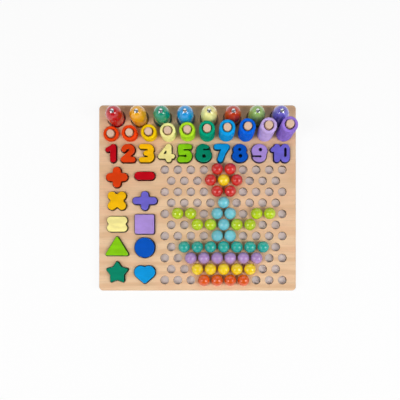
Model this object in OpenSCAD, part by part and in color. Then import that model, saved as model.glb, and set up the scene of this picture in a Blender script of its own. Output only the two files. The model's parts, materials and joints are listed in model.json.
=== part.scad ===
// Wooden bead puzzle: a counting and sorting board that lies flat on a table.
// Seen from above, +X is right, +Y is the back edge and +Z is up.
// The origin is the middle of the underside.
// Beads, rings, pegs, numbers and shapes all lift straight off the board.

/* [Board] */
// Width of the board, left to right
board_w = 301.5; // [300:0.5:320]
// Depth of the board, front to back
board_d = 284; // [282:0.5:310]
// Radius of the board's corners
board_corner = 6; // [2:1:10]
// Thickness of the top panel, which every cut-out goes through
panel_t = 7; // [6:0.5:9]
// Thickness of the base panel under it
base_t = 5; // [3:0.5:8]

/* [Bead field] */
// Diameter of a bead
bead_d = 17.8; // [17:0.2:18.4]
// Diameter of a bead hole
hole_d = 12.6; // [10:0.1:13]
// Spacing of the holes along a row
hole_pitch = 20; // [19:0.1:20]
// Spacing of the rows
row_pitch = 16.9; // [16:0.1:17]
// Middle of the field, left to right
field_x = 39.8; // [39:0.2:40.6]
// Back row of the field
field_y = 43; // [42:0.5:43.5]

/* [Rings] */
// Outer diameter of a ring
ring_d = 23.5; // [22.5:0.5:23.5]
// Bore of a ring
ring_bore = 14.2; // [13:0.2:14.4]
// Thickness of a ring
ring_t = 5.4; // [5:0.2:7]
// Diameter of the fixed pegs that carry the rings
ring_peg_d = 11.6; // [10:0.1:12]
// Height of a fixed peg above its rings
ring_peg_over = 3.5; // [2:0.5:6]
// Spacing of the ring columns
column_pitch = 29.3; // [28:0.1:29.5]
// Place of the ring columns, front to back
column_y = 97; // [96:0.5:97]

/* [Dome pegs] */
// Diameter of a dome peg
dome_d = 25; // [24:0.5:25]
// Diameter of the hole that it stands in
dome_hole_d = 27.8; // [27:0.2:28]
// Height of a dome peg above the board
dome_rise = 38; // [32:1:42]
// Height of its rounded top
dome_cap = 18; // [12:1:20]
// Spacing of the dome pegs
dome_pitch = 35.4; // [34:0.1:36]
// Place of the dome pegs, front to back
dome_y = 121.5; // [121.5:0.5:123]
// Diameter of the steel tack's head
tack_d = 6.5; // [5:0.5:8]

/* [Numbers and shapes] */
// Height of a number
number_h = 28; // [26:0.5:28.5]
// Place of the numbers, front to back
number_y = 67.5; // [66.5:0.5:68]
// Thickness of a number or shape
block_t = 12.4; // [10:0.2:16]
// Room around a number or shape in its pocket
pocket_gap = 1; // [0.6:0.1:1]

/* [Hidden] */
// Room between pieces that part, so that none of them binds
rest_gap = 0.2;
// Extra depth of a cut, past the face that it leaves
past = 1;
// Width of the thin lines that strokes grow from
line_w = 0.02;
// Steps in a quarter of a turned edge
turn_steps = 5;
// Steps in the rounded top of a dome peg
dome_steps = 10;
// Sides of a full circle on a sawn outline, and on its pocket
outline_fn = 32;
pocket_fn = 20;
// Height that the number outlines are drawn at
drawn_h = 28;

board_top = base_t + panel_t;
block_z = base_t + rest_gap;
number_scale = number_h / drawn_h;

// One letter for each hole, from the back row to the front: a dot is an empty hole
bead_rows = [
    "....PP....",
    "...PCP...",
    "....PP....",
    "....S....",
    ".AA.SS.BB.",
    "..AASBB..",
    "....SS....",
    ".TTTTTTT.",
    "..VVVVVV..",
    "..YYYYY..",
    "...OOOO..."
];
row_count = len(bead_rows);

// Letter, node and colour of each group of beads
bead_groups = [
    ["P", "beads_petals", "firebrick"],
    ["C", "beads_flower_centre", "gold"],
    ["S", "beads_stem", "skyblue"],
    ["A", "beads_left_leaf", "yellowgreen"],
    ["B", "beads_right_leaf", "yellowgreen"],
    ["T", "beads_teal_row", "teal"],
    ["V", "beads_lilac_row", "mediumpurple"],
    ["Y", "beads_yellow_row", "gold"],
    ["O", "beads_orange_row", "darkorange"]
];
// A bead's middle, where it sits in the rim of its hole
bead_rim_gap = 0.3;
bead_z = board_top + sqrt(pow(bead_d / 2, 2) - pow(hole_d / 2, 2)) + bead_rim_gap;

ring_colours = ["orangered", "tomato", "orange", "khaki", "yellowgreen", "seagreen",
    "deepskyblue", "royalblue", "plum", "rebeccapurple"];
column_count = len(ring_colours);
ring_step = ring_t + rest_gap;
// Rounding of a ring's outer and inner edges
ring_round = 2.2;
bore_round = 1.2;
ring_peg_round = 1.2;
// Glue room around a fixed peg in the top panel
glue_gap = 0.05;

// Name and colour of each dome peg, from the left
dome_pegs = [
    ["crimson", "crimson"],
    ["amber", "orange"],
    ["green", "seagreen"],
    ["blue", "dodgerblue"],
    ["cream", "lemonchiffon"],
    ["scarlet", "orangered"],
    ["lime", "yellowgreen"],
    ["violet", "slateblue"]
];
dome_count = len(dome_pegs);
dome_h = panel_t - rest_gap + dome_rise;
dome_foot_round = 1.5;
// The flat that the tack's head sits on, below the dome's apex
tack_flat_r = tack_d / 2 + 0.2;
tack_seat = dome_cap * (1 - sqrt(1 - pow(2 * tack_flat_r / dome_d, 2)));
tack_head_h = 0.9;
tack_shank_d = 1.8;
tack_shank_l = 9;
tack_gap = 0.05;

// Place, left to right, and colour of each number
numbers = [
    [-131.4, "crimson"], [-105.8, "orangered"], [-77.6, "gold"], [-47.4, "khaki"], [-19.6, "yellowgreen"],
    [9.3, "seagreen"], [37, "deepskyblue"], [64.6, "royalblue"], [94.3, "plum"], [125.8, "slateblue"]
];
number_count = len(numbers);

// Name, place and colour of each shape
shapes = [
    ["plus", [-122.7, 30.9], "orangered"],
    ["minus", [-80.4, 32.9], "firebrick"],
    ["times", [-122.6, -4.9], "gold"],
    ["divide", [-80.1, -5], "mediumslateblue"],
    ["equals", [-122.2, -40.6], "khaki"],
    ["square", [-80.6, -40.7], "mediumpurple"],
    ["triangle", [-122.4, -74], "yellowgreen"],
    ["circle", [-80.4, -76.3], "royalblue"],
    ["star", [-122.2, -114.6], "seagreen"],
    ["heart", [-80.3, -116.7], "deepskyblue"]
];
// Slits narrower than twice this are left out of a pocket's outline
pocket_close = 0.8;
// Fillet of the inner corners of a number
number_fillet = 0.6;

// Places that follow a rule

function hole_x(row, i) = field_x + (i - (len(bead_rows[row]) - 1) / 2) * hole_pitch;

function hole_y(row) = field_y - row * row_pitch;

function column_x(k) = (k - (column_count + 1) / 2) * column_pitch;

function dome_x(i) = (i - (dome_count - 1) / 2) * dome_pitch;

function arc(middle, r, from, to, steps) = [
    for (i = [0 : steps])
        let (a = from + (to - from) * i / steps)
        middle + r * [cos(a), sin(a)]
];

// Half of a turned bar's profile: a foot and a top with rounded edges
function bar_profile(r, h, foot_round, top_round) = concat(
    [[0, 0]],
    arc([r - foot_round, foot_round], foot_round, -90, 0, turn_steps),
    arc([r - top_round, h - top_round], top_round, 0, 90, turn_steps),
    [[0, h]]
);

// Profile of a ring between two radii, with rounded edges
function ring_profile(inner, outer, h) = concat(
    arc([outer - ring_round, ring_round], ring_round, -90, 0, turn_steps),
    arc([outer - ring_round, h - ring_round], ring_round, 0, 90, turn_steps),
    arc([inner + bore_round, h - bore_round], bore_round, 90, 180, turn_steps),
    arc([inner + bore_round, bore_round], bore_round, 180, 270, turn_steps)
);

// Sawn outlines

module segment(p, q) {
    side = [p.y - q.y, q.x - p.x] / norm(q - p) * line_w / 2;
    polygon([p + side, p - side, q - side, q + side]);
}

// A round-ended stroke along a line of points
module stroke(points, w) {
    offset(r = w / 2)
        for (i = [0 : len(points) - 2])
            segment(points[i], points[i + 1]);
}

// Rounds the inner corners of an outline
module filleted(r) {
    offset(r = -r) offset(delta = r) children();
}

module oval(middle, r, stretch) {
    translate(middle) scale([stretch, 1]) circle(r);
}

// A number's outside edge, drawn_h tall and centred
module number_outline(n) {
    curve = 12;
    if (n == 1) {
        stroke([[3, 9.4], [3, -9.4]], 9.2);
        stroke([[2.8, 9.6], [-5, 5.4]], 7.2);
    }
    if (n == 2) {
        hook = [for (p = arc([0, 0], 1, 172, -35, curve)) [0.2 + 6.4 * p.x, 4.9 + 5.1 * p.y]];
        stroke(concat(hook, [[-7, -9.7]]), 8);
        stroke([[-7, -9.7], [7.4, -9.7]], 8.6);
    }
    if (n == 3) {
        stroke(concat([[-7.4, 10.1]], arc([2.5, 5.05], 5.05, 90, -90, curve), [[-0.8, 0]]), 7.8);
        stroke(concat(arc([3, -5.05], 5.05, 90, -90, curve), [[-7.6, -10.1]]), 7.8);
        stroke([[5.2, 6], [5.2, -6]], 7);
    }
    if (n == 4) {
        stroke([[3.6, 9.4], [3.6, -9.4]], 9.2);
        stroke([[2.8, 10], [-8.7, -4.7]], 7.6);
        stroke([[-9.2, -4.9], [9.6, -4.9]], 7.2);
    }
    if (n == 5) {
        stroke([[-5.6, 2], [-5.6, 9.5], [6.8, 9.5]], 9);
        stroke(concat([[-4, 2]], arc([1.8, -4.4], 5.2, 90, -90, curve), [[-6.8, -9.6]]), 8.8);
        stroke([[-5, -2], [2, -2]], 9);
    }
    if (n == 6) {
        oval([0, -3.6], 10.4, 1.2);
        oval([-0.6, 4.4], 9.6, 1.1);
    }
    if (n == 7) {
        stroke([[-7.9, 9.7], [7.7, 9.7]], 8.6);
        stroke([[7.2, 9.5], [1.4, 0.8], [-2.2, -9.5]], 9);
    }
    if (n == 8) {
        oval([0, 5], 9, 1.15);
        oval([0, -4.6], 9.4, 1.28);
    }
    if (n == 9) {
        oval([0, 3.4], 10.6, 1.14);
        oval([-0.2, -4.4], 9.6, 1.12);
    }
    if (n == 10) {
        stroke([[-4.8, 9.4], [-4.8, -9.4]], 9.2);
        stroke([[-4.8, 9.6], [-11.4, 5]], 6.6);
        stroke([[7.6, 6.8], [7.6, -6.8]], 14.4);
        translate([-4.8, -8.5]) square([12.4, 18.5]);
    }
}

// The eyes and slits inside a number
module number_cuts(n) {
    slit = 1.8;
    notch = 2.6;
    edge = 15;
    if (n == 4)
        offset(r = 0.7) polygon([[-0.6, 3], [-3.2, -0.5], [-0.6, -0.5]]);
    if (n == 5) {
        stroke([[-0.8, 5], [edge, 5]], slit);
        stroke([[-edge, -4.2], [1.6, -4.2]], slit);
        translate([1.2, -4.4]) circle(1.8);
    }
    if (n == 6) {
        stroke([[0.4, 5.4], [8.4, 5.8]], slit);
        stroke([[8.4, 6.4], [edge, 8]], notch);
        translate([0.6, -4.4]) circle(2.7);
    }
    if (n == 8) {
        translate([-0.4, 5.6]) circle(2.2);
        translate([0.8, -4.2]) circle(2.7);
    }
    if (n == 9) {
        stroke([[-edge, -4.9], [1.6, -4.9]], notch);
        translate([1.4, 5.3]) circle(2.6);
    }
    if (n == 10)
        stroke([[7.9, 6.4], [7.9, -4]], 3.6);
}

// A shape's outside edge, centred on its place
module shape_outline(name) {
    if (name == "plus")
        filleted(2) {
            stroke([[-10.3, 0], [10.3, 0]], 12.4);
            stroke([[0, -9.6], [0, 9.6]], 12.4);
        }
    if (name == "minus")
        stroke([[-9.4, 0], [9.4, 0]], 12.2);
    if (name == "times")
        filleted(2.5) {
            stroke([[-7.6, -7.6], [7.6, 7.6]], 12.8);
            stroke([[-7.6, 7.6], [7.6, -7.6]], 12.8);
        }
    if (name == "divide")
        filleted(2) {
            stroke([[-13.2, 0], [13.2, 0]], 11);
            stroke([[0, -8.7], [0, 8.7]], 11.4);
        }
    if (name == "equals")
        filleted(2) {
            stroke([[-9.6, 5.7], [9.6, 5.7]], 11.8);
            stroke([[-9.6, -5.7], [9.6, -5.7]], 11.8);
        }
    if (name == "square")
        offset(r = 2.5) square(24.6, center = true);
    if (name == "triangle")
        offset(r = 2) polygon([[-15.2, -12.4], [15.2, -12.4], [0, 12.4]]);
    if (name == "circle")
        circle(15.2);
    if (name == "star")
        offset(r = 1.6) polygon([
            for (i = [0 : 9])
                (i % 2 == 0 ? 15.4 : 9.2) * [sin(i * 36), cos(i * 36)]
        ]);
    if (name == "heart")
        heart_outline([6.1, 3], 9.8, [0, -10.4], 3.6);
}

// Two lobes and a round tip, with straight flanks that touch both
module heart_outline(lobe, lobe_r, tip, tip_r) {
    across = lobe - tip;
    flank = atan2(across.y, across.x) - acos((tip_r - lobe_r) / norm(across));
    notch = 90 + asin(lobe.x / lobe_r);
    right = concat(
        arc(tip, tip_r, -90, flank, turn_steps),
        arc(lobe, lobe_r, flank, notch, 3 * turn_steps)
    );
    left = [for (i = [len(right) - 2 : -1 : 1]) [-right[i].x, right[i].y]];
    polygon(concat(right, left));
}

module board_outline() {
    offset(r = board_corner, $fn = outline_fn)
        square([board_w - 2 * board_corner, board_d - 2 * board_corner], center = true);
}

// A pocket right through the top panel, a little larger than the outline that drops into it
module pocket(place) {
    translate([place.x, place.y, base_t - past])
        linear_extrude(panel_t + 2 * past)
            offset(delta = -pocket_close) offset(delta = pocket_gap + pocket_close) children();
}

module round_hole(place, d) {
    translate([place.x, place.y, base_t - past]) cylinder(d = d, h = panel_t + 2 * past);
}

// The board

module top_panel() {
    color("burlywood") difference() {
        translate([0, 0, base_t]) linear_extrude(panel_t) board_outline();
        for (row = [0 : row_count - 1], i = [0 : len(bead_rows[row]) - 1])
            round_hole([hole_x(row, i), hole_y(row)], hole_d);
        for (k = [1 : column_count])
            round_hole([column_x(k), column_y], ring_peg_d + 2 * glue_gap);
        for (i = [0 : dome_count - 1])
            round_hole([dome_x(i), dome_y], dome_hole_d);
        for (n = [1 : number_count])
            pocket([numbers[n - 1][0], number_y])
                scale(number_scale) number_outline(n, $fn = pocket_fn);
        for (s = shapes)
            pocket(s[1]) shape_outline(s[0], $fn = pocket_fn);
    }
}

module base_panel() {
    color("wheat") linear_extrude(base_t) board_outline();
}

// The ten fixed pegs, each as tall as its own stack of rings needs
module ring_pegs() {
    color("tan")
        for (k = [1 : column_count])
            translate([column_x(k), column_y, base_t])
                rotate_extrude()
                    polygon(bar_profile(ring_peg_d / 2, panel_t + k * ring_step + ring_peg_over,
                        glue_gap, ring_peg_round));
}

// The pieces that lift off

module number(n) {
    color(numbers[n - 1][1])
        translate([numbers[n - 1][0], number_y, block_z])
            linear_extrude(block_t)
                scale(number_scale)
                    filleted(number_fillet, $fn = outline_fn) difference() {
                        number_outline(n);
                        number_cuts(n);
                    }
}

module shape(s) {
    color(s[2])
        translate([s[1].x, s[1].y, block_z])
            linear_extrude(block_t) shape_outline(s[0], $fn = outline_fn);
}

module dome_peg(i) {
    r = dome_d / 2;
    color(dome_pegs[i][1])
        translate([dome_x(i), dome_y, block_z])
            difference() {
                rotate_extrude()
                    polygon(concat(
                        [[0, 0]],
                        arc([r - dome_foot_round, dome_foot_round], dome_foot_round, -90, 0, turn_steps),
                        [for (p = arc([0, 0], 1, 0, 90, dome_steps))
                            [p.x * r, dome_h - dome_cap + p.y * dome_cap]]
                    ));
                translate([0, 0, dome_h - tack_seat]) cylinder(r = r, h = r);
                translate([0, 0, dome_h - tack_seat - tack_shank_l - tack_gap])
                    cylinder(d = tack_shank_d + 2 * tack_gap, h = dome_h);
            }
}

// A steel tack with a domed head, pushed into the top of a dome peg
module steel_tack(i) {
    head_r = tack_d / 2;
    // Radius of the ball that the head is a cap of
    cap_r = (pow(head_r, 2) + pow(tack_head_h, 2)) / (2 * tack_head_h);
    rim = asin((cap_r - tack_head_h) / cap_r);
    color("lightgray")
        translate([dome_x(i), dome_y, block_z + dome_h - tack_seat])
            rotate_extrude()
                polygon(concat(
                    [[0, -tack_shank_l], [tack_shank_d / 2, -tack_shank_l], [tack_shank_d / 2, 0]],
                    arc([0, tack_head_h - cap_r], cap_r, rim, 90, turn_steps)
                ));
}

// A column of rings, as many as the number in front of it says
module ring_stack(k) {
    color(ring_colours[k - 1])
        for (i = [0 : k - 1])
            translate([column_x(k), column_y, board_top + rest_gap + i * ring_step])
                rotate_extrude() polygon(ring_profile(ring_bore / 2, ring_d / 2, ring_t));
}

// The beads of one group, each in the rim of its own hole
module beads(g) {
    color(g[2])
        for (row = [0 : row_count - 1], i = [0 : len(bead_rows[row]) - 1])
            if (bead_rows[row][i] == g[0])
                translate([hole_x(row, i), hole_y(row), bead_z]) sphere(d = bead_d);
}

top_panel();
base_panel();
ring_pegs();
for (n = [1 : number_count])
    number(n);
for (s = shapes)
    shape(s);
for (i = [0 : dome_count - 1])
    dome_peg(i);
for (i = [0 : dome_count - 1])
    steel_tack(i);
for (k = [1 : column_count])
    ring_stack(k);
for (g = bead_groups)
    beads(g);
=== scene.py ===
"""Looks for a wooden bead puzzle: a sawn board with painted blocks, rings, pegs and beads."""
import collections
import json
import math
import random

import bmesh
import bpy
import numpy as np
from mathutils import Euler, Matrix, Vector
from mathutils.geometry import delaunay_2d_cdt


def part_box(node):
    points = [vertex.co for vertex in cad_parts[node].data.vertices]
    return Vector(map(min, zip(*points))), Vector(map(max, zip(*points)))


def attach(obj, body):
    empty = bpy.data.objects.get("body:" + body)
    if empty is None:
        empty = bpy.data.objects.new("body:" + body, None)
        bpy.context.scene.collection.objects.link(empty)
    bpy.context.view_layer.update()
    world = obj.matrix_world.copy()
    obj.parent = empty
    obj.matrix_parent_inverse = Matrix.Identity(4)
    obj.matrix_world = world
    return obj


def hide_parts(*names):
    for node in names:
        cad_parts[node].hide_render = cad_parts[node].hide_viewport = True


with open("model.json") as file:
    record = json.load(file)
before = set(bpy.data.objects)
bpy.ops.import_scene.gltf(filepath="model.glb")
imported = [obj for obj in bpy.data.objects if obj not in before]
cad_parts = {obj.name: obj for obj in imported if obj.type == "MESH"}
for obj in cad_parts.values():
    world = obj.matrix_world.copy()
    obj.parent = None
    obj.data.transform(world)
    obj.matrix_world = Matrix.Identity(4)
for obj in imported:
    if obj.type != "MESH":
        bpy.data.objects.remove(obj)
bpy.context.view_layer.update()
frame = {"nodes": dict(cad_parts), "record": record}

MM = 0.001
FULL_TURN, QUARTER_TURN = 2 * math.pi, math.pi / 2

# Rounded edges of the flat pieces
PANEL_ROUND, HOLE_ROUND, PANEL_FOOT_ROUND = 1.4 * MM, 0.5 * MM, 0.0
BASE_ROUND, BASE_FOOT_ROUND = 0.2 * MM, 0.9 * MM
BLOCK_ROUND, EYE_ROUND, BLOCK_FOOT_ROUND = 1.0 * MM, 0.7 * MM, 0.4 * MM
TOP_STEPS, FOOT_STEPS = 4, 2

# Profiles of the turned pieces
DOWEL_ROUND = 1.2 * MM
DOME_RISE, DOME_FLAT_R, DOME_FOOT_ROUND = 18 * MM, 3.45 * MM, 1.5 * MM
TACK_HEAD, TACK_SHANK_R, TACK_RIM_IN, TACK_RIM_UP = 0.9 * MM, 0.9 * MM, 0.15 * MM, 0.12 * MM
RING_BORE_R, RING_ROUND, RING_LIP, RING_PLAY = 7.1 * MM, 2.2 * MM, 1.2 * MM, 0.3 * MM
BEAD_FLAT_DEGREES = 7.0
BEAD_LEAN_DEGREES = (55, 90)
DOWEL_SIDES, DOME_SIDES, TACK_SIDES, RING_SIDES, BEAD_SIDES = 40, 72, 40, 56, 48

# Edge weight along the profiles of dowels and rings, from none to full: rubbed paint on the rings, darker
# bare wood on the dowels
DOWEL_WEAR = [0, 0] + [0, 0.5, 1, 1, 0.5, 0] + [0]
RING_WEAR = [0, 0.3, 0.7, 1, 0.7, 0.3, 0] * 2 + [0, 0.6, 0.6, 0] * 2

# Where in the wood the grain of a panel is taken from, and how far apart that of separate pieces may be
PANEL_APART, BASE_APART = Vector((0, 0, 0)), Vector((0.1, 0.2, 0))
TURNED_APART, BLOCK_APART = 0.2, 0.3
UPRIGHT_GRAIN = Euler((0, QUARTER_TURN, 0))

# Limits for reading the solids and joining the meshes, in metres, digits of a metre, or shares
SAME_POINT = 1e-6
WELD_DIGITS, KEY_DIGITS, PLACE_DIGITS = 6, 8, 4
SHORTEST_STEP = 0.04 * MM
SMALLEST_LOOP = MM * MM
CIRCLE_STEP, CIRCLE_SPREAD, CIRCLE_SIDES = 0.6, 0.01, 56
SHARPEST_CORNER = 0.35
UNTANGLE_PASSES = 6
NO_RADIUS = 1e-9
SMOOTH_ANGLE = math.radians(38)

SEED = 11
draw = random.Random(SEED)
slot_of = {p["node"]: p["material_slot"] for p in frame["record"]["subparts"]}
body_of = {n: b for b, members in frame["record"]["behaviour"]["bodies"].items() for n in members}


# Reading the frame

def nodes_called(*starts):
    """Names of the CAD nodes that start in one of these ways, in the frame's own order."""
    return [node for node in frame["nodes"] if node.startswith(starts)]


def node_points(node):
    """Corner places of a CAD node, and its triangles as rows of corner numbers."""
    mesh = frame["nodes"][node].data
    mesh.calc_loop_triangles()
    points = np.zeros(len(mesh.vertices) * 3)
    mesh.vertices.foreach_get("co", points)
    tris = np.zeros(len(mesh.loop_triangles) * 3, np.int32)
    mesh.loop_triangles.foreach_get("vertices", tris)
    return points.reshape(-1, 3), tris.reshape(-1, 3)


def part_boxes(node):
    """Lowest and highest corner of each separate solid of a node, from left to right and upwards."""
    points, tris = node_points(node)
    _, same = np.unique(np.round(points, WELD_DIGITS), axis=0, return_inverse=True)
    same = same.reshape(-1)
    label = np.arange(same.max() + 1)
    corners = same[tris]
    # Each triangle hands its lowest label to its corners, until every solid has a single one
    while True:
        low = label[corners].min(axis=1)
        before = label.copy()
        np.minimum.at(label, corners.ravel(), np.repeat(low, 3))
        label = label[label]
        if (before == label).all():
            break
    owner = label[same]
    boxes = []
    for part in np.unique(owner):
        mine = points[owner == part]
        boxes.append((Vector(mine.min(0)), Vector(mine.max(0))))
    return sorted(boxes, key=lambda b: (round(b[0].x, PLACE_DIGITS), round(b[0].y, PLACE_DIGITS), b[0].z))


def on_axis(low, high, z, aside=(0.0, 0.0)):
    """The point at a height on the upright axis of a box, or a little to the side of it."""
    return Vector(((low.x + high.x) / 2 + aside[0], (low.y + high.y) / 2 + aside[1], z))


def twice_area(loop):
    """Twice the area of a loop, above nought where it runs anticlockwise."""
    x, y = loop.T
    return np.sum(x * np.roll(y, -1) - y * np.roll(x, -1))


def top_loops(node):
    """Edge loops of a node's flat top, each with the wood on its left."""
    points, tris = node_points(node)
    top = points[:, 2].max()
    flat = tris[(points[tris][:, :, 2] > top - SAME_POINT).all(axis=1)]
    keys = [tuple(p) for p in np.round(points[:, :2], KEY_DIGITS)]
    a, b, c = (points[flat[:, i], :2] for i in range(3))
    turn = (b[:, 0] - a[:, 0]) * (c[:, 1] - a[:, 1]) - (b[:, 1] - a[:, 1]) * (c[:, 0] - a[:, 0])
    # Edges inside the flat are passed once each way, so only its rim is left over
    net = collections.Counter()
    for tri, area in zip(flat, turn):
        order = tri if area > 0 else tri[::-1]
        for i in range(3):
            p, q = keys[order[i]], keys[order[(i + 1) % 3]]
            net[p, q] += 1
            net[q, p] -= 1
    following = dict(edge for edge, count in net.items() if count > 0)
    loops = []
    while following:
        loop, at = [], min(following)
        while at in following:
            if not loop or math.dist(at, loop[-1]) > SHORTEST_STEP:
                loop.append(at)
            at = following.pop(at)
        loop = np.array(loop)
        if abs(twice_area(loop)) > SMALLEST_LOOP:
            loops.append(smooth_round(loop))
    return loops


def smooth_round(loop):
    """Draws a loop again with even steps, if it is a circle."""
    middle = (loop.min(0) + loop.max(0)) / 2
    reach = np.linalg.norm(loop - middle, axis=1)
    steps = np.linalg.norm(np.roll(loop, -1, axis=0) - loop, axis=1)
    if steps.max() > CIRCLE_STEP * reach.mean() or np.ptp(reach) > CIRCLE_SPREAD * reach.mean():
        return loop
    turn = np.sign(twice_area(loop - middle))
    angle = turn * np.linspace(0, FULL_TURN, CIRCLE_SIDES, endpoint=False)
    return middle + reach.max() * np.stack([np.cos(angle), np.sin(angle)], -1)


# Building meshes

class Piece:
    """Collects the surfaces of one piece.

    Each corner keeps its place in the grain, how far it lies on a rounded edge (rubbed in paint, darker in
    bare wood), and how far on a singed cut that is also drawn darker as painted shade.
    """

    def __init__(self):
        self.points, self.faces, self.grain, self.edge, self.cut = [], [], [], [], []

    def add(self, points, faces, grain, edge, cut=None):
        """Adds a surface, whose faces count its own points from nought."""
        base = len(self.points)
        self.points.extend(points)
        self.faces.extend([[i + base for i in f] for f in faces])
        self.grain.extend(grain)
        self.edge.extend(edge)
        self.cut.extend(cut if cut is not None else [0.0] * len(points))

    def build(self, name, node, material):
        """Makes the piece, in place of a CAD node and on that node's body."""
        mesh = bpy.data.meshes.new(name)
        mesh.from_pydata([tuple(p) for p in self.points], [], self.faces)
        mesh.update()
        grain = mesh.attributes.new("grain", "FLOAT_VECTOR", "POINT")
        grain.data.foreach_set("vector", np.array(self.grain, np.float32).ravel())
        for key, values in (("edge", self.edge), ("cut", self.cut)):
            layer = mesh.attributes.new(key, "FLOAT", "POINT")
            layer.data.foreach_set("value", np.array(values, np.float32))
        joined = bmesh.new()
        joined.from_mesh(mesh)
        bmesh.ops.remove_doubles(joined, verts=joined.verts, dist=SAME_POINT)
        joined.to_mesh(mesh)
        joined.free()
        mesh.shade_smooth()
        mesh.set_sharp_from_angle(angle=SMOOTH_ANGLE)
        piece = bpy.data.objects.new(name, mesh)
        bpy.context.scene.collection.objects.link(piece)
        even = piece.modifiers.new("even_normals", "WEIGHTED_NORMAL")
        even.keep_sharp = True
        mesh.materials.append(material)
        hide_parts(node)
        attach(piece, body_of[node])


def inset(loop, distance):
    """A loop moved into the wood by a distance.

    Steps that would turn back on themselves are drawn together.
    """
    along = np.roll(loop, -1, axis=0) - loop
    along /= np.linalg.norm(along, axis=1)[:, None]
    left = np.stack([-along[:, 1], along[:, 0]], -1)
    before = np.roll(left, 1, axis=0)
    square = 1 + np.sum(left * before, axis=1)
    moved = loop + distance * (left + before) / np.maximum(square, SHARPEST_CORNER)[:, None]
    for _ in range(UNTANGLE_PASSES):
        step = np.roll(moved, -1, axis=0) - moved
        back = np.flatnonzero(np.sum(step * along, axis=1) < 0)
        if not len(back):
            break
        for i in back:
            j = (i + 1) % len(moved)
            moved[i] = moved[j] = (moved[i] + moved[j]) / 2
    return moved


def filled(loops):
    """Points and triangles of the flat area between loops."""
    points = [Vector(p) / MM for loop in loops for p in loop]
    rings, base = [], 0
    for loop in loops:
        ring = list(range(base, base + len(loop)))
        rings.append(ring if twice_area(loop) > 0 else ring[::-1])
        base += len(loop)
    inside_only, closeness = 1, 1e-5
    points, _, faces, _, _, inside = delaunay_2d_cdt(points, [], rings, inside_only, closeness)
    return [p * MM for p in points], [f for f, owners in zip(faces, inside) if len(owners) % 2]


def round_over(radius, steps):
    """Insets, drops and wear of a rounded edge, from the side to the flat."""
    out = []
    for i in range(steps + 1):
        a = QUARTER_TURN * i / steps
        out.append((radius * (1 - math.cos(a)), radius * (1 - math.sin(a)), math.sin(2 * a)))
    return out


def slab(piece, loops, low, high, rim_round, hole_round, foot_round, apart, cut_holes=False):
    """A sawn sheet with rounded edges: one profile up each loop, and a flat at each end."""
    tops, feet = [], []
    rim = max(range(len(loops)), key=lambda i: np.ptp(loops[i][:, 0]))
    for number, loop in enumerate(loops):
        over = rim_round if number == rim else hole_round
        # Hole walls take the singed tone, which also carries painted shade
        singed_and_shaded = cut_holes and number != rim
        if foot_round:
            rows = [(i, low + d, e) for i, d, e in reversed(round_over(foot_round, FOOT_STEPS))]
        else:
            rows = [(0, low, 0)]
        rows += [(i, high - d, e) for i, d, e in round_over(over, TOP_STEPS)]
        n = len(loop)
        points, edge, cut, faces = [], [], [], []
        for r, (step_in, z, worn) in enumerate(rows):
            points += [(x, y, z) for x, y in inset(loop, step_in)]
            edge += [worn] * n
            cut += [max(0.0, 1 - step_in / over) if singed_and_shaded else 0.0] * n
            # The wood is on the left of each loop, so a side wound this way faces out
            if r:
                faces += [[(r - 1) * n + i, (r - 1) * n + (i + 1) % n, r * n + (i + 1) % n, r * n + i]
                          for i in range(n)]
        piece.add(points, faces, [Vector(p) - apart for p in points], edge, cut)
        tops.append(inset(loop, rows[-1][0]))
        feet.append(inset(loop, rows[0][0]))
    for rings, z, up in ((tops, high, True), (feet, low, False)):
        flat, faces = filled(rings)
        points = [(x, y, z) for x, y in flat]
        if not up:
            faces = [f[::-1] for f in faces]
        piece.add(points, faces, [Vector(p) - apart for p in points], [0.0] * len(points))


def lathe(piece, profile, middle, sides, wear=None, turn=None, grain_turn=None, spin=0.0):
    """Turns a profile of radius and height about an upright axis through a point.

    The body may then be tipped by a turn. Its grain runs along X unless that has a turn of its own.
    """
    wear = wear or [0.0] * len(profile)
    grain_turn = grain_turn or Euler((0, 0, 0))
    turn = turn.to_matrix() if turn else None
    apart = Vector([draw.uniform(-TURNED_APART, TURNED_APART) for _ in range(3)])
    points, rows, edge, grain = [], [], [], []
    for worn, (r, z) in zip(wear, profile):
        row = []
        for i in range(1 if r < NO_RADIUS else sides):
            a = spin + FULL_TURN * i / sides
            p = Vector((r * math.cos(a), r * math.sin(a), z))
            if turn:
                p = turn @ p
            row.append(len(points))
            points.append(middle + p)
            edge.append(worn)
            local = p.copy()
            local.rotate(grain_turn)
            grain.append(local + apart)
        rows.append(row)
    pairs = list(zip(rows, rows[1:]))
    if len(rows[0]) > 1 and len(rows[-1]) > 1:
        pairs.append((rows[-1], rows[0]))
    faces = []
    for low, high in pairs:
        for i in range(sides):
            j = (i + 1) % sides
            if len(low) == 1:
                faces.append([high[i], high[j], low[0]])
            elif len(high) == 1:
                faces.append([low[i], low[j], high[0]])
            else:
                faces.append([low[i], low[j], high[j], high[i]])
    piece.add(points, faces, grain, edge)


def arc(r0, z0, r, start, end, steps):
    """Profile points of an arc, in degrees from the outward direction."""
    out = []
    for i in range(steps + 1):
        a = math.radians(start + (end - start) * i / steps)
        out.append((r0 + r * math.cos(a), z0 + r * math.sin(a)))
    return out


# Materials

def linear(rgb):
    """A screen colour, with channels of 0 to 255, in the shader's own units."""
    out = [c / 255 / 12.92 if c <= 10 else ((c / 255 + 0.055) / 1.055) ** 2.4 for c in rgb]
    return (*out, 1.0)


def shade(rgb, share):
    """A colour made lighter or darker, for a material's variation."""
    return linear([max(0, min(255, c * share)) for c in rgb])


def palette():
    """Tone of each material slot, as the record has it, in screen colours of 0 to 255."""
    found = {}
    for m in frame["record"]["materials"]:
        rgb = [12.92 * c if c <= 0.0031308 else 1.055 * c ** (1 / 2.4) - 0.055 for c in m["base_color"][:3]]
        found[m["slot"]] = [255 * c for c in rgb]
    return found


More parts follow.
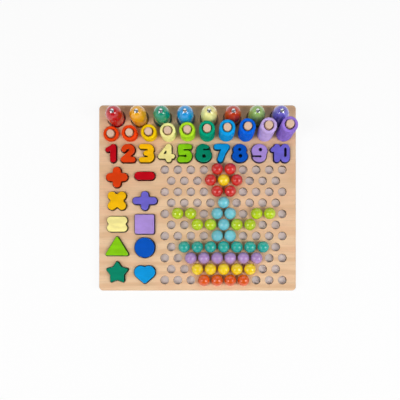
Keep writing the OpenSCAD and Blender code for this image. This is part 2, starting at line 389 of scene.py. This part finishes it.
class Nodes:
    """The node tree of a material or a world, cleared and then built from short calls."""

    def __init__(self, owner):
        owner.use_nodes = True
        self.tree = owner.node_tree
        self.tree.nodes.clear()

    def new(self, kind):
        """A new node of a kind."""
        return self.tree.nodes.new("ShaderNode" + kind)

    def put(self, socket, value):
        """Links another node's output to a socket, or sets the socket to a constant."""
        if isinstance(value, bpy.types.NodeSocket):
            self.tree.links.new(value, socket)
        else:
            socket.default_value = value

    def math(self, kind, a, b=0.0):
        """One step of arithmetic."""
        node = self.new("Math")
        node.operation = kind
        self.put(node.inputs[0], a)
        self.put(node.inputs[1], b)
        return node.outputs[0]

    def vector_math(self, kind, a, b=(0, 0, 0)):
        """One step of arithmetic on vectors, or the length of a vector."""
        node = self.new("VectorMath")
        node.operation = kind
        self.put(node.inputs[0], a)
        self.put(node.inputs[1], b)
        return node.outputs["Value" if kind == "LENGTH" else "Vector"]

    def upward(self, vector):
        """The upward part of a vector."""
        node = self.new("SeparateXYZ")
        self.put(node.inputs[0], vector)
        return node.outputs["Z"]

    def span(self, value, low, high, to_low=0.0, to_high=1.0):
        """A value carried smoothly from one range to another, and held at its ends."""
        node = self.new("MapRange")
        node.interpolation_type = "SMOOTHSTEP"
        for key, v in zip(("From Min", "From Max", "To Min", "To Max"), (low, high, to_low, to_high)):
            node.inputs[key].default_value = v
        self.put(node.inputs["Value"], value)
        return node.outputs[0]

    def seen_directly(self):
        """One where a ray comes from the camera, a mirror or a clear body, and nought elsewhere."""
        path = self.new("LightPath")
        total = path.outputs["Is Camera Ray"]
        for key in ("Is Glossy Ray", "Is Transmission Ray"):
            total = self.math("MAXIMUM", total, path.outputs[key])
        return total


class Surface(Nodes):
    """A material with one shader, whose patterns follow what each corner of a piece keeps."""

    def __init__(self, name):
        self.material = bpy.data.materials.new(name)
        super().__init__(self.material)
        self.shader = self.new("BsdfPrincipled")
        self.put(self.new("OutputMaterial").inputs["Surface"], self.shader.outputs[0])

    def set(self, **values):
        """Sets or links the shader's sockets by name, with _ for each space."""
        for key, value in values.items():
            self.put(self.shader.inputs[key.replace("_", " ")], value)

    def kept(self, name, output="Fac"):
        """What the corners of a piece keep under a name."""
        node = self.new("Attribute")
        node.attribute_name = name
        return node.outputs[output]

    def geometry(self, output):
        """A fact about the surface itself."""
        return self.new("NewGeometry").outputs[output]

    def noise(self, vector, stretch, detail=3.0, rough=0.55):
        """Noise with so many waves to the metre along each axis."""
        place = self.new("Mapping")
        place.inputs["Scale"].default_value = stretch
        self.put(place.inputs["Vector"], vector)
        node = self.new("TexNoise")
        node.inputs["Scale"].default_value = 1.0
        node.inputs["Detail"].default_value = detail
        node.inputs["Roughness"].default_value = rough
        self.put(node.inputs["Vector"], place.outputs[0])
        return node.outputs["Fac"]

    def mix(self, share, a, b):
        """A mix of two colours, with a share of the second."""
        node = self.new("Mix")
        node.data_type = "RGBA"
        share_at, a_at, b_at, colour_out = 0, 6, 7, 2
        self.put(node.inputs[share_at], share)
        self.put(node.inputs[a_at], a)
        self.put(node.inputs[b_at], b)
        return node.outputs[colour_out]

    def bump(self, height, strength, depth):
        """A normal that follows a height."""
        node = self.new("Bump")
        node.inputs["Strength"].default_value = strength
        node.inputs["Distance"].default_value = depth
        self.put(node.inputs["Height"], height)
        return node.outputs[0]


def wood(name, tone, ring_gap, pith, plies=0.0, wash=None):
    """Pale wood in the round: growth rings about a pith, fibres along it, pores, and singed cuts darkened
    further with painted shade.

    Where given, plies of this thickness show on the sides, and a wash of this share and tone on top.
    """
    s = Surface(name)
    grain = s.kept("grain", "Vector")
    facing_up = s.upward(s.geometry("Normal"))
    sway = s.noise(grain, (9, 26, 26), detail=2.0)
    fibres = s.noise(grain, (22, 620, 620), detail=4.0, rough=0.6)
    pores = s.span(s.noise(grain, (150, 2600, 2600), detail=2.0), 0.62, 0.72)
    mottle = s.noise(grain, (14, 30, 30))
    streaks = s.noise(grain, (500, 500, 40), detail=2.0)

    # Growth rings, which sway a little and are drawn out along the pith
    drawn_out, sway_turn = (0.06, 1, 1), 9.0
    from_pith = s.vector_math("MULTIPLY", s.vector_math("SUBTRACT", grain, pith), drawn_out)
    reach = s.math("MULTIPLY", s.vector_math("LENGTH", from_pith), FULL_TURN / ring_gap)
    phase = s.math("ADD", reach, s.math("MULTIPLY", sway, sway_turn))
    rings = s.span(s.math("SINE", phase), -0.4, 1.0)
    late_wood = [tone[0], tone[1] * 0.965, tone[2] * 0.93]
    base = s.mix(rings, shade(tone, 1.02), shade(late_wood, 0.97))

    # Pink patches, fibres and pores
    pink = [tone[0] * 1.01, tone[1] * 0.955, tone[2] * 0.95]
    base = s.mix(s.span(mottle, 0.42, 0.68, to_high=0.8), base, shade(pink, 1.0))
    base = s.mix(s.span(fibres, 0.4, 0.75, to_high=0.35), base, shade(tone, 0.86))
    base = s.mix(s.math("MULTIPLY", pores, 0.35), base, shade(tone, 0.66))

    if wash:
        wash_share, wash_tone = wash
        patchy = s.span(mottle, 0.25, 0.6, to_low=0.75)
        on_top = s.span(facing_up, 0.5, 0.9, to_high=wash_share)
        base = s.mix(s.math("MULTIPLY", patchy, on_top), base, linear(wash_tone))
    if plies:
        ply_share = 0.32
        on_side = s.span(s.math("ABSOLUTE", facing_up), 0.25, 0.6, to_low=1.0, to_high=0.0)
        layers = s.math("SINE", s.math("MULTIPLY", s.upward(grain), FULL_TURN / plies))
        dark_ply = s.math("MULTIPLY", on_side, s.span(layers, -0.25, 0.25))
        base = s.mix(s.math("MULTIPLY", dark_ply, ply_share), base, shade(tone, 0.7))

    # Singed walls of the holes, darkened further with painted shade, and rounded edges drawn darker
    singed_and_shade_share, rounded_edge_dark_share = 0.95, 0.22
    singed_and_shaded = s.mix(s.span(streaks, 0.35, 0.7), shade(tone, 0.23), shade(tone, 0.39))
    base = s.mix(s.math("MULTIPLY", s.kept("cut"), singed_and_shade_share), base, singed_and_shaded)
    # Bare wood drawn darker along its rounded edges
    base = s.mix(s.math("MULTIPLY", s.kept("edge"), rounded_edge_dark_share), base, shade(tone, 0.78))

    height = s.math("ADD", s.math("MULTIPLY", fibres, 0.7), s.math("MULTIPLY", pores, -0.5))
    s.set(Base_Color=base, Roughness=s.span(fibres, 0.3, 0.8, 0.42, 0.58), Specular_IOR_Level=0.35,
          Normal=s.bump(height, strength=0.25, depth=0.3 * MM))
    return s.material


# Finishes of the paint; the last field is the share of painted shade on the sides
Finish = collections.namedtuple("Finish", "rough coat coat_ior grain_depth worn shine sunk")
FINISHES = {
    "block": Finish(rough=0.4, coat=0.0, coat_ior=1.5, grain_depth=0.35, worn=0.5, shine=0.08, sunk=0.9),
    "turned": Finish(rough=0.5, coat=0.0, coat_ior=1.5, grain_depth=0.25, worn=0.4, shine=0.04, sunk=0.0),
    "ball": Finish(rough=0.24, coat=1.0, coat_ior=1.7, grain_depth=0.06, worn=0.25, shine=0.05, sunk=0.0),
    "dome": Finish(rough=0.2, coat=1.0, coat_ior=1.65, grain_depth=0.06, worn=0.25, shine=0.15, sunk=0.0),
}


def paint(name, tone, finish):
    """Opaque paint on wood: brushed-out colour, a little grain and wear along the edges.

    Faces turned away from upwards, the sides most of all, are darkened with painted shade.
    """
    s = Surface(name)
    grain = s.kept("grain", "Vector")
    clouds = s.noise(grain, (45, 110, 110))
    fibres = s.noise(grain, (40, 900, 900), detail=4.0, rough=0.6)
    specks = s.noise(grain, (1500, 1500, 1500), detail=2.0)
    scuffs = s.span(s.noise(grain, (160, 160, 160)), 0.56, 0.72)

    base = s.mix(s.span(clouds, 0.35, 0.7), shade(tone, 0.955), shade(tone, 1.045))
    base = s.mix(s.span(s.geometry("Random Per Island"), 0.0, 1.0, to_high=0.45), base, shade(tone, 0.92))
    base = s.mix(s.span(fibres, 0.55, 0.8, to_high=0.16), base, shade(tone, 0.82))
    # Painted shade: faces turned away from upwards are drawn darker than the top
    if finish.sunk:
        on_side = s.span(s.upward(s.geometry("Normal")), 0.1, 0.75, to_low=finish.sunk, to_high=0.0)
        base = s.mix(on_side, base, shade(tone, 0.45))

    # Rubbed edges, where the colour goes part of the way to that of the bare wood
    bare, bare_share = 235, 0.45
    rubbed = s.math("MULTIPLY", s.kept("edge"), scuffs)
    rubbed_tone = [c + (bare - c) * bare_share for c in tone]
    base = s.mix(s.math("MULTIPLY", rubbed, finish.worn), base, linear(rubbed_tone))

    roughness = s.math("ADD", s.span(clouds, 0.3, 0.7, finish.rough - 0.04, finish.rough + 0.05),
                       s.math("MULTIPLY", rubbed, 0.2))
    height = s.math("ADD", s.math("MULTIPLY", fibres, 0.8), s.math("MULTIPLY", specks, 0.25))
    s.set(Base_Color=base, Roughness=roughness, Specular_IOR_Level=finish.shine,
          Coat_Weight=finish.coat, Coat_Roughness=0.14, Coat_IOR=finish.coat_ior,
          Normal=s.bump(height, strength=finish.grain_depth, depth=0.2 * MM))
    return s.material


def steel(name, tone):
    """Polished steel with fine turning marks and a few smears."""
    s = Surface(name)
    grain = s.kept("grain", "Vector")
    marks = s.noise(grain, (700, 700, 5000))
    smears = s.noise(grain, (420, 420, 420), detail=2.0)
    base = s.mix(s.span(smears, 0.35, 0.7), shade(tone, 1.0), shade(tone, 1.18))
    s.set(Base_Color=base, Metallic=1.0, Roughness=s.span(smears, 0.3, 0.7, 0.22, 0.32),
          Normal=s.bump(marks, strength=0.12, depth=0.1 * MM))
    return s.material


tones = palette()
board_wood = wood("board_wood", tones["board_wood"], ring_gap=0.011, pith=(0.0, 0.03, -0.16), plies=0.0028)
base_wood = wood("base_wood", tones["base_wood"], ring_gap=0.012, pith=(0.0, -0.05, -0.19), plies=0.0025,
                 wash=(0.85, (252, 236, 235)))
dowel_wood = wood("dowel_wood", tones["dowel_wood"], ring_gap=0.0021, pith=(0.0, 0.0, 0.0),
                  wash=(0.45, (226, 196, 182)))
polished_steel = steel("steel", tones["steel"])

# Paint against the tone of its slot, for each kind of piece and for single pieces that differ
KIND_LIFT = {"block": 1.0, "turned": 1.06, "ball": 1.0, "dome": 1.05}
OWN_LIFT = {"rings_3": 1.12, "rings_6": 1.22, "rings_8": 1.22,
            "dome_peg_green": 1.16, "dome_peg_scarlet": 0.9}
paints = {}


def paint_for(node, kind):
    """The paint of a node's slot, in the finish of its kind of piece and lifted as that kind or node is."""
    slot, lift = slot_of[node], OWN_LIFT.get(node, KIND_LIFT[kind])
    key = (slot, kind, lift)
    if key not in paints:
        lifted = [min(255, c * lift) for c in tones[slot]]
        paints[key] = paint(f"{slot}_{kind}", lifted, FINISHES[kind])
    return paints[key]


# The board

panel_low, panel_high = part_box("top_panel")
panel = Piece()
slab(panel, top_loops("top_panel"), panel_low.z, panel_high.z, PANEL_ROUND, HOLE_ROUND, PANEL_FOOT_ROUND,
     PANEL_APART, cut_holes=True)
panel.build("sawn_panel", "top_panel", board_wood)

base_low, base_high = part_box("base_panel")
backing = Piece()
slab(backing, top_loops("base_panel"), base_low.z, base_high.z, BASE_ROUND, BASE_ROUND, BASE_FOOT_ROUND,
     BASE_APART)
backing.build("backing_panel", "base_panel", base_wood)

dowels = Piece()
for low, high in part_boxes("ring_pegs"):
    r, h = (high.x - low.x) / 2, high.z - low.z
    shoulder = arc(r - DOWEL_ROUND, h - DOWEL_ROUND, DOWEL_ROUND, 0, 90, steps=5)
    profile = [(0, 0), (r, 0)] + shoulder + [(0, h)]
    lathe(dowels, profile, on_axis(low, high, low.z), DOWEL_SIDES, wear=DOWEL_WEAR, grain_turn=UPRIGHT_GRAIN)
dowels.build("ring_dowels", "ring_pegs", dowel_wood)

# The blocks that drop into their pockets

for node in nodes_called("number_", "block_"):
    low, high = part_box(node)
    block = Piece()
    apart = Vector([draw.uniform(-BLOCK_APART, BLOCK_APART) for _ in range(3)])
    slab(block, top_loops(node), low.z, high.z, BLOCK_ROUND, EYE_ROUND, BLOCK_FOOT_ROUND, apart)
    block.build(node + "_painted", node, paint_for(node, "block"))

# The turned pieces

for node in nodes_called("dome_peg_"):
    low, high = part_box(node)
    r, h = (high.x - low.x) / 2, high.z - low.z
    flat_at = math.degrees(math.acos(DOME_FLAT_R / r))
    dome_z = h - DOME_RISE * math.sin(math.radians(flat_at))
    foot = arc(r - DOME_FOOT_ROUND, DOME_FOOT_ROUND, DOME_FOOT_ROUND, -90, 0, steps=5)
    side = [(r, dome_z * share) for share in (0.35, 0.7)]
    dome = [(x, dome_z + z * DOME_RISE / r) for x, z in arc(0, 0, r, 0, flat_at, steps=24)]
    profile = [(0, 0)] + foot + side + dome + [(0, h)]
    peg = Piece()
    lathe(peg, profile, on_axis(low, high, low.z), DOME_SIDES, grain_turn=UPRIGHT_GRAIN)
    peg.build(node + "_lacquered", node, paint_for(node, "dome"))

for node in nodes_called("steel_tack_"):
    low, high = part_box(node)
    r = (high.x - low.x) / 2
    middle = on_axis(low, high, high.z - TACK_HEAD)
    tip = low.z - middle.z
    crown_r = (r * r + TACK_HEAD * TACK_HEAD) / (2 * TACK_HEAD)
    rim_at = math.degrees(math.asin((crown_r - TACK_HEAD) / crown_r))
    over_rim = 3
    shank = [(0, tip), (TACK_SHANK_R, tip), (TACK_SHANK_R, 0)]
    rim = [(r - TACK_RIM_IN, 0), (r, TACK_RIM_UP)]
    crown = arc(0, TACK_HEAD - crown_r, crown_r, rim_at + over_rim, 90, steps=10)[:-1] + [(0, TACK_HEAD)]
    tack = Piece()
    lathe(tack, shank + rim + crown, middle, TACK_SIDES)
    tack.build(node + "_head", node, polished_steel)

for node in nodes_called("rings_"):
    stack = Piece()
    for low, high in part_boxes(node):
        shoulder_r, lip_r, h = (high.x - low.x) / 2 - RING_ROUND, RING_BORE_R + RING_LIP, high.z - low.z
        outside = (arc(shoulder_r, RING_ROUND, RING_ROUND, -90, 0, steps=6)
                   + arc(shoulder_r, h - RING_ROUND, RING_ROUND, 0, 90, steps=6))
        bore = (arc(lip_r, h - RING_LIP, RING_LIP, 90, 180, steps=3)
                + arc(lip_r, RING_LIP, RING_LIP, 180, 270, steps=3))
        slip = draw.uniform(0, FULL_TURN)
        middle = on_axis(low, high, low.z, aside=(RING_PLAY * math.cos(slip), RING_PLAY * math.sin(slip)))
        grain_turn = Euler((0, 0, draw.uniform(0, math.pi)))
        lathe(stack, outside + bore, middle, RING_SIDES, wear=RING_WEAR, spin=slip, grain_turn=grain_turn)
    stack.build(node + "_turned", node, paint_for(node, "turned"))

for node in nodes_called("beads_"):
    balls = Piece()
    for low, high in part_boxes(node):
        r = (high.x - low.x) / 2
        pole = r * math.cos(math.radians(BEAD_FLAT_DEGREES))
        ball = arc(0, 0, r, -90 + BEAD_FLAT_DEGREES, 90 - BEAD_FLAT_DEGREES, steps=30)
        lean = Euler((math.radians(draw.uniform(*BEAD_LEAN_DEGREES)), 0, draw.uniform(0, FULL_TURN)))
        lathe(balls, [(0, -pole)] + ball + [(0, pole)], (low + high) / 2, BEAD_SIDES, turn=lean)
    balls.build(node + "_lacquered", node, paint_for(node, "ball"))


# Camera, floor and light

camera = bpy.data.cameras.new("camera")
camera.sensor_width = 36.0
camera.lens = 42.5
camera.shift_x = -0.015
camera.shift_y = 0.15
eye = bpy.data.objects.new("camera", camera)
eye.location = (0.0130, -0.0952, 0.735)
bpy.context.scene.collection.objects.link(eye)
bpy.context.scene.camera = eye

FLOOR_TONE, FLOOR_GLOW = (0.86, 0.86, 0.86, 1), 0.86
FLOOR_REACH, FLOOR_DROP = 3.0, 0.3 * MM


def floor_material():
    """A matte floor that keeps the shadow and shows nearly white."""
    material = bpy.data.materials.new("floor")
    nodes = Nodes(material)
    matte = nodes.new("BsdfDiffuse")
    matte.inputs["Color"].default_value = FLOOR_TONE
    white = nodes.new("Emission")
    both = nodes.new("MixShader")
    nodes.put(both.inputs[0], nodes.math("MULTIPLY", nodes.seen_directly(), FLOOR_GLOW))
    nodes.put(both.inputs[1], matte.outputs[0])
    nodes.put(both.inputs[2], white.outputs[0])
    nodes.put(nodes.new("OutputMaterial").inputs["Surface"], both.outputs[0])
    return material


sheet = bmesh.new()
bmesh.ops.create_grid(sheet, x_segments=2, y_segments=2, size=FLOOR_REACH)
floor_mesh = bpy.data.meshes.new("floor")
sheet.to_mesh(floor_mesh)
sheet.free()
floor_mesh.materials.append(floor_material())
floor = bpy.data.objects.new("floor", floor_mesh)
floor.location.z = -FLOOR_DROP
bpy.context.scene.collection.objects.link(floor)

world = bpy.data.worlds.new("studio")
studio = Nodes(world)
rise = studio.upward(studio.new("TexCoord").outputs["Generated"])
# A ring of sky about a dark zenith, so that flat tops mirror no light
risen = studio.span(rise, 0.68, 0.82, to_low=0.04, to_high=0.22)
below_zenith = studio.span(rise, 0.95, 0.985, to_low=1.0, to_high=0.08)
ring_sky = studio.math("MULTIPLY", risen, below_zenith)
# The pale backdrop behind the floor, which only shows and lights nothing
low_sky = studio.span(rise, 0.34, 0.48, to_low=0.9, to_high=0.0)
backdrop = studio.math("MULTIPLY", low_sky, studio.seen_directly())
sky = studio.new("Background")
sky.inputs["Color"].default_value = (1.0, 1.0, 1.0, 1.0)
studio.put(sky.inputs["Strength"], studio.math("ADD", ring_sky, backdrop))
studio.put(studio.new("OutputWorld").inputs["Surface"], sky.outputs[0])
bpy.context.scene.world = world


def softbox(name, place, size, power, mirrored=True):
    """A soft white lamp aimed at the board, left out of reflections where it is not mirrored."""
    lamp = bpy.data.lights.new(name, "AREA")
    lamp.shape = "RECTANGLE"
    lamp.size, lamp.size_y = size
    lamp.energy = power
    box = bpy.data.objects.new(name, lamp)
    box.location = place
    box.rotation_euler = (Vector((0, 0, 0)) - Vector(place)).to_track_quat("-Z", "Y").to_euler()
    box.visible_glossy = mirrored
    bpy.context.scene.collection.objects.link(box)


# Place and size in metres, and power in watts
softbox("softbox_left", (-0.95, -0.35, 1.0), (0.5, 0.5), 6.3)
softbox("softbox_right", (1.03, -0.35, 1.0), (0.5, 0.5), 7.6)
softbox("softbox_front", (0.0, -1.6, 0.75), (2.6, 1.0), 6.0, mirrored=False)
softbox("softbox_back", (0.0, 1.6, 1.2), (2.0, 0.8), 7.5)
softbox("softbox_high_left", (-0.6, -0.35, 1.3), (0.4, 0.4), 3.6, mirrored=False)
softbox("softbox_high_right", (0.6, -0.35, 1.3), (0.4, 0.4), 3.6, mirrored=False)

bpy.context.scene.view_settings.view_transform = "Standard"
